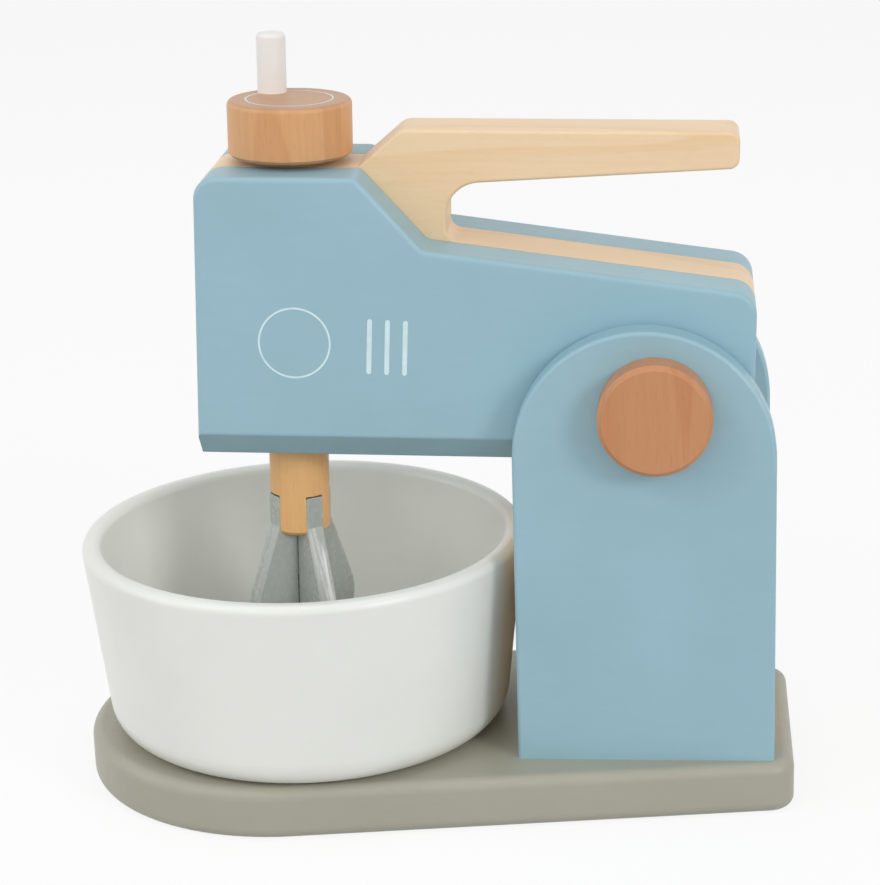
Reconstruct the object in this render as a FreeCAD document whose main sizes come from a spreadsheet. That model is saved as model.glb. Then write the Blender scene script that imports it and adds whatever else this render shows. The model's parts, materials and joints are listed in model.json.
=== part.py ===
"""Wooden toy stand mixer: a FreeCAD 1.1 macro.

Frame: millimetres, +Z up, -X is the bowl end, +X the support end, +Y the right-hand
side of somebody who looks towards -X. The origin is the bottom centre of the whole toy.

Three working frames place the pieces:
  stand frame   origin on the floor under the bowl's axis, level
  head frame    origin on the pivot's axis, turned nose-up by head_rest_tilt
  beater frame  the head frame moved forward onto the spindle's axis
"""
import FreeCAD, Part
import math
import os
import Sketcher

# The driving sizes, in millimetres and degrees.
SIZES = [
    # bowl
    ("bowl_radius", 67.6),
    ("bowl_height", 60.1),
    ("bowl_flare", 6.75),
    ("bowl_wall", 5.9),
    ("bowl_floor", 6.0),
    ("bowl_corner_radius", 9.7),
    ("bowl_inner_radius", 8.0),
    ("bowl_rim_radius", 2.5),
    # base plate
    ("base_thickness", 15.8),
    ("base_front_inset", 7.3),
    ("base_front_lead", 8.1),
    ("base_side_margin", 2.25),
    ("base_rear_margin", 5.95),
    ("base_corner_radius", 8.0),
    ("base_edge_radius", 3.4),
    # support cheeks
    ("cheek_lead", 1.05),
    ("cheek_width", 75.5),
    ("cheek_thickness", 9.4),
    ("cheek_edge_radius", 1.2),
    ("cheek_inner_edge", 0.8),
    ("cheek_gap", 0.6),
    # panels between the cheeks
    ("panel_thickness", 8.0),
    ("panel_bowl_gap", 1.9),
    ("rear_panel_inset", 3.0),
    ("panel_edge", 0.6),
    ("stop_gap", 0.05),
    ("tilt_limit", 75.0),
    # pivot
    ("pivot_behind_centre", 3.3),
    ("pivot_above_arc", 14.2),
    ("axle_diameter", 12.0),
    ("axle_clearance", 0.08),
    ("disc_radius", 16.3),
    ("disc_thickness", 9.5),
    ("disc_edge", 1.3),
    ("disc_web", 3.5),
    ("disc_gap", 0.2),
    # head outline: heights from the pivot's axis, lengths from it or from the spindle's axis
    ("head_rest_tilt", 1.2),
    ("head_over_bowl", 27.3),
    ("head_below", 20.0),
    ("head_above", 64.35),
    ("spindle_setback", 0.3),
    ("head_nose", 24.65),
    ("head_toe_lead", 1.4),
    ("head_rear", 28.25),
    ("head_rear_above", 31.9),
    ("shoulder_behind", 21.7),
    ("shoulder_run", 19.1),
    ("shoulder_end_above", 43.6),
    ("head_front_corner", 6.5),
    ("head_rear_corner", 7.0),
    ("head_heel_cut", 4.0),
    ("shoulder_radius", 3.0),
    ("head_edge_radius", 1.5),
    ("head_sole_edge", 8.0),
    ("head_inner_edge", 0.4),
    ("head_side_thickness", 16.0),
    # head core with its handle
    ("core_thickness", 19.5),
    ("core_edge_radius", 1.0),
    ("handle_behind", 20.65),
    ("handle_rise_run", 12.4),
    ("handle_above", 75.3),
    ("handle_rear", 22.7),
    ("handle_under_rear", 64.7),
    ("handle_under_front", 59.4),
    ("handle_neck", 25.45),
    ("handle_crown_radius", 5.0),
    ("handle_end_radius", 3.0),
    ("handle_gap_upper_radius", 10.0),
    ("handle_gap_lower_radius", 3.5),
    # spindle, knob and crank
    ("spindle_diameter", 10.0),
    ("spindle_clearance", 0.08),
    ("washer_diameter", 22.0),
    ("washer_thickness", 1.7),
    ("thrust_gap", 0.25),
    ("knob_radius", 18.2),
    ("knob_height", 16.2),
    ("knob_web", 5.2),
    ("knob_edge_radius", 1.5),
    ("knob_lower_edge", 1.0),
    ("crank_inset", 6.1),
    ("crank_angle", 122.5),
    ("crank_pin_diameter", 8.6),
    ("crank_pin_stand", 17.5),
    ("crank_pin_socket", 8.0),
    ("crank_pin_edge", 1.3),
    # beater
    ("shaft_diameter", 18.0),
    ("shaft_length", 28.9),
    ("shaft_gap", 0.5),
    ("shaft_edge", 1.2),
    ("shaft_web", 1.8),
    ("slot_depth", 12.4),
    ("slot_headroom", 0.4),
    ("whisk_thickness", 5.5),
    ("whisk_edge", 0.5),
    ("whisk_lap_clearance", 0.25),
    ("whisk_tab_half_width", 9.3),
    ("whisk_neck", 2.5),
    ("whisk_radius", 17.0),
    ("whisk_floor_gap", 12.4),
    ("whisk_angle", 37.0),
    # hidden dowels and screws
    ("head_dowel_diameter", 8.0),
    ("head_dowel_socket", 8.25),
    ("head_dowel_inset", 16.0),
    ("panel_dowel_diameter", 6.0),
    ("panel_dowel_length", 16.0),
    ("panel_dowel_in_cheek", 5.0),
    ("panel_dowel_lift", 20.2),
    ("panel_dowel_pitch", 44.0),
    ("screw_diameter", 3.8),
    ("screw_head_diameter", 7.6),
    ("screw_in_cheek", 15.5),
    ("screw_clearance", 0.2),
    ("screw_recess", 0.3),
    ("screw_inset", 15.75),
]

# Sizes worked out from the driving ones, in the sheet's own formulas. A reach is measured
# from the bowl's axis in the stand frame, or forward from the pivot's axis in the head frame.
WORKED_OUT = [
    ("bowl_foot_radius", "bowl_radius - bowl_flare"),
    ("base_front_radius", "bowl_radius - base_front_inset"),
    ("cheek_centre_reach", "bowl_radius - cheek_lead + cheek_width / 2"),
    ("head_width", "core_thickness + 2 * head_side_thickness"),
    ("base_rear", "cheek_centre_reach + cheek_width / 2 + base_rear_margin"),
    ("base_rear_half_width", "head_width / 2 + cheek_gap + cheek_thickness + base_side_margin"),
    ("front_panel_reach", "bowl_radius + panel_bowl_gap"),
    ("pivot_reach", "cheek_centre_reach + pivot_behind_centre"),
    ("spindle_reach", "pivot_reach - spindle_setback"),
    ("pivot_height", "base_thickness + bowl_height + head_over_bowl + head_below"),
    ("cheek_arc_height", "pivot_height - pivot_above_arc"),
    ("disc_socket", "disc_thickness - disc_web"),
    ("head_front", "spindle_reach + head_nose"),
    ("head_toe", "head_front + head_toe_lead"),
    ("shoulder_start", "spindle_reach - shoulder_behind"),
    ("shoulder_end", "shoulder_start - shoulder_run"),
    ("handle_rise_start", "spindle_reach - handle_behind"),
    ("handle_rise_end", "handle_rise_start - handle_rise_run"),
    ("handle_gap_front", "handle_rise_start - handle_neck"),
    ("spindle_knob_socket", "knob_height - knob_web"),
    ("spindle_shaft_socket", "shaft_length - slot_depth - shaft_web"),
    ("crank_radius", "knob_radius - crank_inset"),
    ("shaft_bottom", "head_below + shaft_gap + shaft_length"),
    ("slot_top", "shaft_bottom - slot_depth"),
    ("whisk_flare_top", "shaft_bottom - whisk_neck"),
    ("whisk_arc_centre", "pivot_height - base_thickness - bowl_floor - whisk_floor_gap - whisk_radius"),
    ("head_dowel_length", "core_thickness + 2 * head_dowel_socket"),
    ("panel_dowel_low", "base_thickness + panel_dowel_lift"),
    ("panel_dowel_high", "panel_dowel_low + panel_dowel_pitch"),
    ("screw_length", "base_thickness - screw_recess + screw_in_cheek"),
    ("screw_spread", "cheek_width / 2 - screw_inset"),
]

# Lengths that several pieces share, as expressions of the sheet's cells.
AXIS_X = "((Sizes.base_front_radius + Sizes.base_front_lead - Sizes.base_rear) / 2)"
PIVOT_X = AXIS_X + " + Sizes.pivot_reach"
TILT = "(Sizes.head_rest_tilt * 1deg)"
OPEN_TILT = "((Sizes.head_rest_tilt + Sizes.tilt_limit) * 1deg)"
HEAD_HALF = "(Sizes.head_width / 2)"
CHEEK_INNER = "(" + HEAD_HALF + " + Sizes.cheek_gap)"
CHEEK_OUTER = "(" + CHEEK_INNER + " + Sizes.cheek_thickness)"
CHEEK_MIDDLE = "(" + CHEEK_INNER + " + Sizes.cheek_thickness / 2)"
CHEEK_FRONT = "(Sizes.cheek_centre_reach - Sizes.cheek_width / 2)"
CHEEK_REAR = "(Sizes.cheek_centre_reach + Sizes.cheek_width / 2)"
REAR_PANEL_FRONT = "(" + CHEEK_REAR + " - Sizes.rear_panel_inset - Sizes.panel_thickness)"
REAR_PANEL_BACK = "(" + CHEEK_REAR + " - Sizes.rear_panel_inset)"
FRONT_PANEL_BACK = "(Sizes.front_panel_reach + Sizes.panel_thickness)"
DISC_INNER = "(" + CHEEK_OUTER + " + Sizes.disc_gap)"
KNOB_BOTTOM = "(Sizes.head_above + Sizes.washer_thickness + Sizes.thrust_gap)"
KNOB_TOP = "(" + KNOB_BOTTOM + " + Sizes.knob_height)"
SHAFT_TOP = "(0 - Sizes.head_below - Sizes.shaft_gap)"
SHAFT_BOTTOM = "(0 - Sizes.shaft_bottom)"
SLOT_TOP = "(0 - Sizes.slot_top)"
WHISK_TOP = "(" + SLOT_TOP + " - Sizes.slot_headroom)"
WHISK_BOTTOM = "(0 - Sizes.whisk_arc_centre - Sizes.whisk_radius)"
WHISK_MIDDLE = "((" + WHISK_TOP + " + " + WHISK_BOTTOM + ") / 2)"

# The head rests on the back edge of the front panel. When it is open, the lower end of
# the head's rear face rests on the front edge of the rear panel.
FRONT_PANEL_TOP = (
    "(Sizes.pivot_height - Sizes.stop_gap - (Sizes.head_below"
    " - (Sizes.pivot_reach - " + FRONT_PANEL_BACK + ") * sin(" + TILT + ")) / cos(" + TILT + "))"
)
REAR_PANEL_TOP = (
    "(Sizes.pivot_height - Sizes.stop_gap - (Sizes.head_rear"
    " - (" + REAR_PANEL_FRONT + " - Sizes.pivot_reach) * cos(" + OPEN_TILT + "))"
    " / sin(" + OPEN_TILT + "))"
)

LEFT, RIGHT = -1, 1
SIDE_NAMES = {LEFT: "left", RIGHT: "right"}

# Dowels that hold the head's three layers, across and above the pivot's axis.
HEAD_DOWELS = [
    ("0 - Sizes.spindle_reach - Sizes.head_nose / 2", "Sizes.head_dowel_inset - Sizes.head_below"),
    ("0 - Sizes.shoulder_start", "Sizes.head_above - Sizes.head_dowel_inset"),
    ("0 - Sizes.pivot_reach / 2", "Sizes.head_dowel_inset - Sizes.head_below"),
    ("Sizes.head_rear - Sizes.head_dowel_inset", "Sizes.head_rear_above - Sizes.head_dowel_inset"),
]

doc = FreeCAD.newDocument("toy_stand_mixer")
sheet = doc.addObject("Spreadsheet::Sheet", "Sizes")
SIZE = {}
parts = []


def fill_sheet():
    """Put every size into the sheet, and its worth now into SIZE."""
    formulas = [(alias, "=" + formula) for alias, formula in WORKED_OUT]
    rows = [(alias, str(value)) for alias, value in SIZES] + formulas
    for row, (alias, content) in enumerate(rows, start=1):
        sheet.set("A%d" % row, alias)
        sheet.set("B%d" % row, content)
        sheet.setAlias("B%d" % row, alias)
        doc.recompute()
        SIZE[alias] = float(sheet.get(alias))


# ---------------------------------------------------------------- helpers


def keep(feature, node):
    """Make this object the sub-part that is called node."""
    feature.Label = node
    parts.append(feature)
    return feature


def place_on_stand(feature):
    feature.setExpression("Placement.Base.x", AXIS_X)


def place_in_head(feature, forward="0"):
    """Put an object into the head frame, its own origin forward of the pivot's axis."""
    turned = FreeCAD.Rotation(FreeCAD.Vector(0, 1, 0), SIZE["head_rest_tilt"])
    feature.Placement = FreeCAD.Placement(FreeCAD.Vector(0, 0, 0), turned)
    feature.setExpression("Placement.Rotation.Angle", TILT)
    feature.setExpression("Placement.Base.x", PIVOT_X + " - (" + forward + ") * cos(" + TILT + ")")
    feature.setExpression("Placement.Base.z", "Sizes.pivot_height + (" + forward + ") * sin(" + TILT + ")")


def place_on_spindle(feature):
    place_in_head(feature, "Sizes.spindle_reach")


def new_body(name):
    return doc.addObject("PartDesign::Body", name)


def new_sketch(body, role, name, height=None, turn=None):
    """A sketch on one of the body's own origin planes, lifted along the plane's normal."""
    sketch = body.newObject("Sketcher::SketchObject", name)
    planes = [plane for plane in body.Origin.OriginFeatures if plane.Role == role]
    sketch.AttachmentSupport = [(planes[0], "")]
    sketch.MapMode = "FlatFace"
    if height is not None:
        sketch.setExpression("AttachmentOffset.Base.z", height)
    if turn is not None:
        about_vertical = FreeCAD.Rotation(FreeCAD.Vector(0, 1, 0), 1)
        sketch.AttachmentOffset = FreeCAD.Placement(FreeCAD.Vector(0, 0, 0), about_vertical)
        sketch.setExpression("AttachmentOffset.Rotation.Angle", "(" + turn + ") * 1deg")
    return sketch


def pin_point(sketch, geometry, point, across, upward):
    """Fix one point of a sketch by two expressions."""
    for kind, expression in (("DistanceX", across), ("DistanceY", upward)):
        value = number(expression)
        index = sketch.addConstraint(Sketcher.Constraint(kind, -1, 1, geometry, point, value))
        sketch.setExpression("Constraints[%d]" % index, expression)


def number(expression):
    """What an expression is worth now, for a first guess in a sketch."""
    return float(getattr(doc.Sizes.evalExpression(expression), "Value", doc.Sizes.evalExpression(expression)))


def polygon(sketch, corners):
    """A closed outline of straight lines. Each corner is a pair of expressions."""
    points = [FreeCAD.Vector(number(across), number(upward), 0) for across, upward in corners]
    count = len(points)
    for index in range(count):
        line = Part.LineSegment(points[index], points[(index + 1) % count])
        sketch.addGeometry(line, False)
    for index in range(count):
        sketch.addConstraint(Sketcher.Constraint("Coincident", index, 2, (index + 1) % count, 1))
    for index, (across, upward) in enumerate(corners):
        pin_point(sketch, index, 1, across, upward)


def circle(sketch, diameter, across="0", upward="0"):
    centre = FreeCAD.Vector(number(across), number(upward), 0)
    radius = number(diameter) / 2
    index = sketch.addGeometry(Part.Circle(centre, FreeCAD.Vector(0, 0, 1), radius), False)
    pin_point(sketch, index, 3, across, upward)
    size = sketch.addConstraint(Sketcher.Constraint("Diameter", index, 2 * radius))
    sketch.setExpression("Constraints[%d]" % size, diameter)


def pad(body, sketch, name, length, midplane=False):
    feature = body.newObject("PartDesign::Pad", name)
    feature.Profile = sketch
    feature.setExpression("Length", length)
    feature.Midplane = midplane
    doc.recompute()
    return feature


def pocket(body, sketch, name, depth=None, flipped=False):
    """Cut a sketch to a depth or, with no depth, both ways through the whole body."""
    before = body.Shape.Volume
    feature = body.newObject("PartDesign::Pocket", name)
    feature.Profile = sketch
    if depth is None:
        feature.Type = "ThroughAll"
        feature.Midplane = True
    else:
        feature.setExpression("Length", depth)
        feature.Reversed = flipped
    doc.recompute()
    if body.Shape.Volume > before - 0.5:
        raise RuntimeError(name + " cuts nothing")
    return feature


def edge_names(shape, wanted):
    names = []
    for index, edge in enumerate(shape.Edges, start=1):
        if wanted(edge):
            names.append("Edge%d" % index)
    return names


def dress(body, kind, name, size, wanted):
    """A Fillet or a Chamfer on the edges of the body that the test picks."""
    base = body.Tip
    names = edge_names(base.Shape, wanted)
    if not names:
        raise RuntimeError(name + " finds no edge")
    feature = body.newObject("PartDesign::" + kind, name)
    feature.Base = (base, names)
    feature.setExpression("Radius" if kind == "Fillet" else "Size", size)
    doc.recompute()
    return feature


def near(value, target):
    return abs(value - target) < 0.01


def curve_of(edge):
    """The edge's curve, or None for a kind that has no Python type."""
    try:
        return edge.Curve
    except TypeError:
        return None


def runs_along(edge, direction):
    """True for a straight edge parallel to a direction."""
    curve = curve_of(edge)
    return isinstance(curve, Part.Line) and abs(curve.Direction.dot(direction)) > 0.9999


def has_radius(edge, radius):
    return near(getattr(curve_of(edge), "Radius", 0), radius)


def lies_at(edge, axis, position):
    """True for an edge whose whole length has this coordinate along X, Y or Z."""
    box = edge.BoundBox
    low = getattr(box, axis + "Min")
    high = getattr(box, axis + "Max")
    return near(low, position) and near(high, position)


def corner_at(across, upward):
    """A test for the edge along Y that passes one corner of an outline."""
    x, z = number(across), number(upward)
    along_y = FreeCAD.Vector(0, 1, 0)

    def wanted(edge):
        middle = edge.CenterOfMass
        return runs_along(edge, along_y) and near(middle.x, x) and near(middle.z, z)

    return wanted


def round_bar(name, diameter, start, length):
    """A dowel along Z: its start height and length are expressions."""
    body = new_body(name)
    sketch = new_sketch(body, "XY_Plane", name + "_circle", start)
    circle(sketch, diameter)
    pad(body, sketch, name + "_length", length)
    return body


def lying_bar(name, diameter, length, across="0", upward="0"):
    """A dowel along Y, centred on Y = 0."""
    body = new_body(name)
    sketch = new_sketch(body, "XZ_Plane", name + "_circle")
    circle(sketch, diameter, across, upward)
    pad(body, sketch, name + "_length", length, midplane=True)
    return body


def group(name, members):
    bunch = doc.addObject("Part::Compound", name)
    bunch.Links = members
    return bunch


# ---------------------------------------------------------------- stand


def side_tangent_point():
    """Where the base's straight side leaves its round front, as a first guess."""
    radius = SIZE["base_front_radius"]
    reach = SIZE["base_rear"] + SIZE["base_front_lead"]
    half_width = SIZE["base_rear_half_width"]
    direction = math.atan2(half_width, reach) + math.acos(radius / math.hypot(reach, half_width))
    return direction, FreeCAD.Vector(
        -SIZE["base_front_lead"] + radius * math.cos(direction), radius * math.sin(direction), 0
    )


def screw_places():
    """Where two screws go up into each cheek, as pairs of expressions."""
    places = []
    for side in (LEFT, RIGHT):
        for step in (-1, 1):
            across = "Sizes.cheek_centre_reach + %d * Sizes.screw_spread" % step
            places.append((across, "%d * " % side + CHEEK_MIDDLE))
    return places


def make_base_plate():
    body = new_body("base_plate")
    outline = new_sketch(body, "XY_Plane", "base_outline")
    direction, start = side_tangent_point()
    rear = SIZE["base_rear"]
    half_width = SIZE["base_rear_half_width"]
    centre = FreeCAD.Vector(-SIZE["base_front_lead"], 0, 0)
    front = Part.Circle(centre, FreeCAD.Vector(0, 0, 1), SIZE["base_front_radius"])
    mirrored = FreeCAD.Vector(start.x, -start.y, 0)
    right_corner = FreeCAD.Vector(rear, half_width, 0)
    left_corner = FreeCAD.Vector(rear, -half_width, 0)
    outline.addGeometry(Part.ArcOfCircle(front, direction, 2 * math.pi - direction), False)
    outline.addGeometry(Part.LineSegment(mirrored, left_corner), False)
    outline.addGeometry(Part.LineSegment(left_corner, right_corner), False)
    outline.addGeometry(Part.LineSegment(right_corner, start), False)
    outline.addConstraint(Sketcher.Constraint("Tangent", 0, 2, 1, 1))
    outline.addConstraint(Sketcher.Constraint("Coincident", 1, 2, 2, 1))
    outline.addConstraint(Sketcher.Constraint("Coincident", 2, 2, 3, 1))
    outline.addConstraint(Sketcher.Constraint("Tangent", 3, 2, 0, 1))
    pin_point(outline, 0, 3, "0 - Sizes.base_front_lead", "0")
    pin_point(outline, 2, 1, "Sizes.base_rear", "0 - Sizes.base_rear_half_width")
    pin_point(outline, 2, 2, "Sizes.base_rear", "Sizes.base_rear_half_width")
    size = outline.addConstraint(Sketcher.Constraint("Radius", 0, SIZE["base_front_radius"]))
    outline.setExpression("Constraints[%d]" % size, "Sizes.base_front_radius")
    pad(body, outline, "base_board", "Sizes.base_thickness")

    upright = FreeCAD.Vector(0, 0, 1)
    dress(
        body, "Fillet", "base_corners", "Sizes.base_corner_radius",
        lambda edge: runs_along(edge, upright) and near(edge.CenterOfMass.x, rear),
    )
    levels = (0, SIZE["base_thickness"])
    dress(
        body, "Fillet", "base_edges", "Sizes.base_edge_radius",
        lambda edge: any(lies_at(edge, "Z", level) for level in levels),
    )
    holes = new_sketch(body, "XY_Plane", "screw_hole_circles")
    for across, sideways in screw_places():
        circle(holes, "Sizes.screw_diameter + 2 * Sizes.screw_clearance", across, sideways)
    pocket(body, holes, "screw_holes")
    hole_radius = SIZE["screw_diameter"] / 2 + SIZE["screw_clearance"]
    dress(
        body, "Chamfer", "screw_countersinks",
        "(Sizes.screw_head_diameter - Sizes.screw_diameter) / 2 + Sizes.screw_recess",
        lambda edge: lies_at(edge, "Z", 0) and has_radius(edge, hole_radius),
    )
    place_on_stand(body)
    keep(body, "base_plate")


def make_screws():
    """Four equal countersunk screws, up through the base."""
    screws = []
    slope = "(Sizes.screw_head_diameter - Sizes.screw_diameter) / 2"
    for index, (across, sideways) in enumerate(screw_places()):
        head = doc.addObject("Part::Cone", "screw_head_%d" % index)
        head.setExpression("Radius1", "Sizes.screw_head_diameter / 2")
        head.setExpression("Radius2", "Sizes.screw_diameter / 2")
        head.setExpression("Height", slope)
        shank = doc.addObject("Part::Cylinder", "screw_shank_%d" % index)
        shank.setExpression("Radius", "Sizes.screw_diameter / 2")
        shank.setExpression("Height", "Sizes.screw_length - " + slope)
        shank.setExpression("Placement.Base.z", slope)
        screw = doc.addObject("Part::MultiFuse", "screw_%d" % index)
        screw.Shapes = [head, shank]
        screw.setExpression("Placement.Base.z", "Sizes.screw_recess")
        screw.setExpression("Placement.Base.x", across)
        screw.setExpression("Placement.Base.y", sideways)
        screws.append(screw)
    bunch = group("base_screws", screws)
    place_on_stand(bunch)
    keep(bunch, "base_screws")


def panel_dowel_places():
    """Across and height of each dowel between a panel and a cheek, as expressions."""
    places = []
    for face in ("Sizes.front_panel_reach", REAR_PANEL_FRONT):
        for height in ("Sizes.panel_dowel_low", "Sizes.panel_dowel_high"):
            places.append((face + " + Sizes.panel_thickness / 2", height))
    return places


def make_cheek(side):
    """An upright board with a round top, on its own origin at mid thickness."""
    node = "cheek_" + SIDE_NAMES[side]
    body = new_body(node)
    outline = new_sketch(body, "XZ_Plane", node + "_outline")
    front = number(CHEEK_FRONT)
    rear = number(CHEEK_REAR)
    low = SIZE["base_thickness"]
    high = SIZE["cheek_arc_height"]
    centre = FreeCAD.Vector(SIZE["cheek_centre_reach"], high, 0)
    crown = Part.Circle(centre, FreeCAD.Vector(0, 0, 1), SIZE["cheek_width"] / 2)
    points = [(front, high), (front, low), (rear, low), (rear, high)]
    corners = [FreeCAD.Vector(across, upward, 0) for across, upward in points]
    outline.addGeometry(Part.ArcOfCircle(crown, 0, math.pi), False)
    for index in range(3):
        outline.addGeometry(Part.LineSegment(corners[index], corners[index + 1]), False)
    outline.addConstraint(Sketcher.Constraint("Tangent", 0, 2, 1, 1))
    outline.addConstraint(Sketcher.Constraint("Coincident", 1, 2, 2, 1))
    outline.addConstraint(Sketcher.Constraint("Coincident", 2, 2, 3, 1))
    outline.addConstraint(Sketcher.Constraint("Tangent", 3, 2, 0, 1))
    pin_point(outline, 0, 3, "Sizes.cheek_centre_reach", "Sizes.cheek_arc_height")
    pin_point(outline, 2, 1, CHEEK_FRONT, "Sizes.base_thickness")
    pin_point(outline, 2, 2, CHEEK_REAR, "Sizes.base_thickness")
    pad(body, outline, node + "_board", "Sizes.cheek_thickness", midplane=True)

    outer = side * SIZE["cheek_thickness"] / 2
    above_foot = low + 0.01
    dress(
        body, "Fillet", node + "_outer_edges", "Sizes.cheek_edge_radius",
        lambda edge: lies_at(edge, "Y", outer) and edge.BoundBox.ZMax > above_foot,
    )
    dress(
        body, "Chamfer", node + "_inner_edges", "Sizes.cheek_inner_edge",
        lambda edge: lies_at(edge, "Y", -outer) and edge.BoundBox.ZMax > above_foot,
    )
    bore = new_sketch(body, "XZ_Plane", node + "_bore_circle")
    circle(
        bore, "Sizes.axle_diameter + 2 * Sizes.axle_clearance",
        "Sizes.pivot_reach", "Sizes.pivot_height",
    )
    pocket(body, bore, node + "_bore")
    inward = "%d * Sizes.cheek_thickness / 2" % side
    sockets = new_sketch(body, "XZ_Plane", node + "_dowel_circles", inward)
    for across, upward in panel_dowel_places():
        circle(sockets, "Sizes.panel_dowel_diameter", across, upward)
    pocket(body, sockets, node + "_dowel_sockets", "Sizes.panel_dowel_in_cheek", flipped=side == LEFT)
    pilots = new_sketch(body, "XY_Plane", node + "_pilot_circles", "Sizes.base_thickness")
    for step in (-1, 1):
        across = "Sizes.cheek_centre_reach + %d * Sizes.screw_spread" % step
        circle(pilots, "Sizes.screw_diameter", across)
    pocket(body, pilots, node + "_pilots", "Sizes.screw_in_cheek", flipped=True)
    place_on_stand(body)
    body.setExpression("Placement.Base.y", "%d * " % side + CHEEK_MIDDLE)
    keep(body, node)


def make_panel(node, front, top, free_edge):
    """A cross board between the cheeks, pinned to each by two dowels.

    Its top edge at free_edge carries nothing and has a small chamfer.
    """
    body = new_body(node)
    outline = new_sketch(body, "XZ_Plane", node + "_outline")
    back = front + " + Sizes.panel_thickness"
    low = "Sizes.base_thickness"
    polygon(outline, [(front, low), (back, low), (back, top), (front, top)])
    pad(body, outline, node + "_board", "2 * " + CHEEK_INNER, midplane=True)
    dress(body, "Chamfer", node + "_top_edge", "Sizes.panel_edge", corner_at(free_edge, top))
    depth = "Sizes.panel_dowel_length - Sizes.panel_dowel_in_cheek"
    for side in (LEFT, RIGHT):
        face = "%d * " % -side + CHEEK_INNER
        sockets = new_sketch(body, "XZ_Plane", "%s_dowels_%s" % (node, SIDE_NAMES[side]), face)
        for upward in ("Sizes.panel_dowel_low", "Sizes.panel_dowel_high"):
            circle(sockets, "Sizes.panel_dowel_diameter", front + " + Sizes.panel_thickness / 2", upward)
        pocket(body, sockets, sockets.Name + "_sockets", depth, flipped=side == RIGHT)
    place_on_stand(body)
    keep(body, node)


def make_panel_dowels():
    """Eight equal dowels that pin the two panels to the cheeks."""
    dowels = []
    for side in (LEFT, RIGHT):
        for index, (across, upward) in enumerate(panel_dowel_places()):
            name = "panel_dowel_%s_%d" % (SIDE_NAMES[side], index)
            dowel = lying_bar(name, "Sizes.panel_dowel_diameter", "Sizes.panel_dowel_length")
            middle = CHEEK_INNER + " + Sizes.panel_dowel_in_cheek - Sizes.panel_dowel_length / 2"
            dowel.setExpression("Placement.Base.x", across)
            dowel.setExpression("Placement.Base.y", "%d * (" % side + middle + ")")
            dowel.setExpression("Placement.Base.z", upward)
            dowels.append(dowel)
    bunch = group("panel_dowels", dowels)
    place_on_stand(bunch)
    keep(bunch, "panel_dowels")


# ---------------------------------------------------------------- bowl


def make_bowl():
    body = new_body("bowl")
    profile = new_sketch(body, "XZ_Plane", "bowl_profile")
    flare = "(Sizes.bowl_radius - Sizes.bowl_foot_radius) / Sizes.bowl_height"
    inner_foot = "Sizes.bowl_foot_radius + " + flare + " * Sizes.bowl_floor - Sizes.bowl_wall"
    polygon(profile, [
        ("0", "0"),
        ("Sizes.bowl_foot_radius", "0"),
        ("Sizes.bowl_radius", "Sizes.bowl_height"),
        ("Sizes.bowl_radius - Sizes.bowl_wall", "Sizes.bowl_height"),
        (inner_foot, "Sizes.bowl_floor"),
        ("0", "Sizes.bowl_floor"),
    ])
    turned = body.newObject("PartDesign::Revolution", "bowl_turning")
    turned.Profile = profile
    turned.ReferenceAxis = (profile, ["V_Axis"])
    turned.Angle = 360
    doc.recompute()
    foot = SIZE["bowl_foot_radius"]
    dress(body, "Fillet", "bowl_foot", "Sizes.bowl_corner_radius", lambda edge: has_radius(edge, foot))
    inner = number(inner_foot)
    dress(body, "Fillet", "bowl_inner_foot", "Sizes.bowl_inner_radius", lambda edge: has_radius(edge, inner))
    rim = SIZE["bowl_height"]
    dress(body, "Fillet", "bowl_rim", "Sizes.bowl_rim_radius", lambda edge: lies_at(edge, "Z", rim))
    place_on_stand(body)
    body.setExpression("Placement.Base.z", "Sizes.base_thickness")
    keep(body, "bowl")


# ---------------------------------------------------------------- head


def head_corners():
    """The outline that the two side boards and the core share, front bottom first."""
    return [
        ("0 - Sizes.head_toe", "0 - Sizes.head_below"),
        ("Sizes.head_rear - Sizes.head_heel_cut", "0 - Sizes.head_below"),
        ("Sizes.head_rear", "Sizes.head_heel_cut - Sizes.head_below"),
        ("Sizes.head_rear", "Sizes.head_rear_above"),
        ("0 - Sizes.shoulder_end", "Sizes.shoulder_end_above"),
        ("0 - Sizes.shoulder_start", "Sizes.head_above"),
        ("0 - Sizes.head_front", "Sizes.head_above"),
    ]


def round_head_corners(body, node):
    """The rounded corners that all three boards have."""
    toe, heel_front, heel_back, rear, shoulder_foot, shoulder, front = head_corners()
    dress(body, "Fillet", node + "_front_corner", "Sizes.head_front_corner", corner_at(*front))
    dress(body, "Fillet", node + "_rear_corner", "Sizes.head_rear_corner", corner_at(*rear))


def drill_head_board(body, node):
    bore = new_sketch(body, "XZ_Plane", node + "_axle_circle")
    circle(bore, "Sizes.axle_diameter")
    pocket(body, bore, node + "_axle_bore")


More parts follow.
